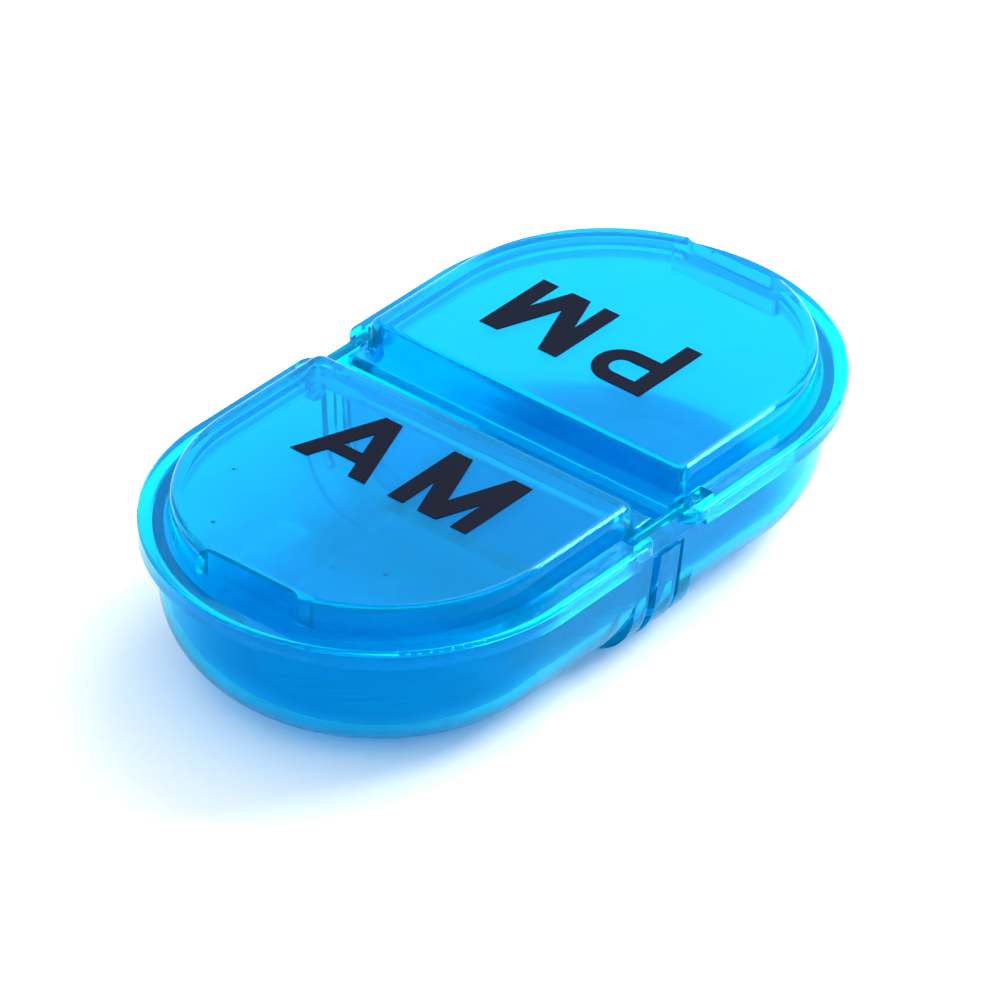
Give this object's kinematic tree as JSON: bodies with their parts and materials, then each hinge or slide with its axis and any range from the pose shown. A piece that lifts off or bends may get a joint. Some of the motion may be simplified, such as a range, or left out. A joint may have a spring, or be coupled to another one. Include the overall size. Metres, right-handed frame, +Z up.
{
  "type": "pill box",
  "caption": "two-compartment pill box with hinged lids, long rounded tub with a divider, raised lid tops with thumb notches and dark dose-time letters",
  "frame": {"origin": "middle of the underside, on the surface the box stands on", "axes": "+X runs along the box from the morning end to the evening end, +Y runs across it parallel to the lid hinges, +Z is up"},
  "size_m": [0.084, 0.047, 0.0191],
  "materials": {
    "blue_plastic": "glossy",
    "dark_ink": "matte"
  },
  "bodies": {
    "base": {"base_tub": "blue_plastic"},
    "morning_lid": {"morning_lid": "blue_plastic", "morning_letter_a": "dark_ink", "morning_letter_m": "dark_ink"},
    "evening_lid": {"evening_lid": "blue_plastic", "evening_letter_p": "dark_ink", "evening_letter_m": "dark_ink"}
  },
  "joints": [
    {"name": "morning_lid_hinge", "type": "hinge", "parent": "base", "child": "morning_lid", "pos_m": [-0.0047, 0, 0.0145], "axis": [0, 1, 0], "range_deg": [0, 90]},
    {"name": "evening_lid_hinge", "type": "hinge", "parent": "base", "child": "evening_lid", "pos_m": [0.0047, 0, 0.0145], "axis": [0, -1, 0], "range_deg": [0, 90]}
  ]
}
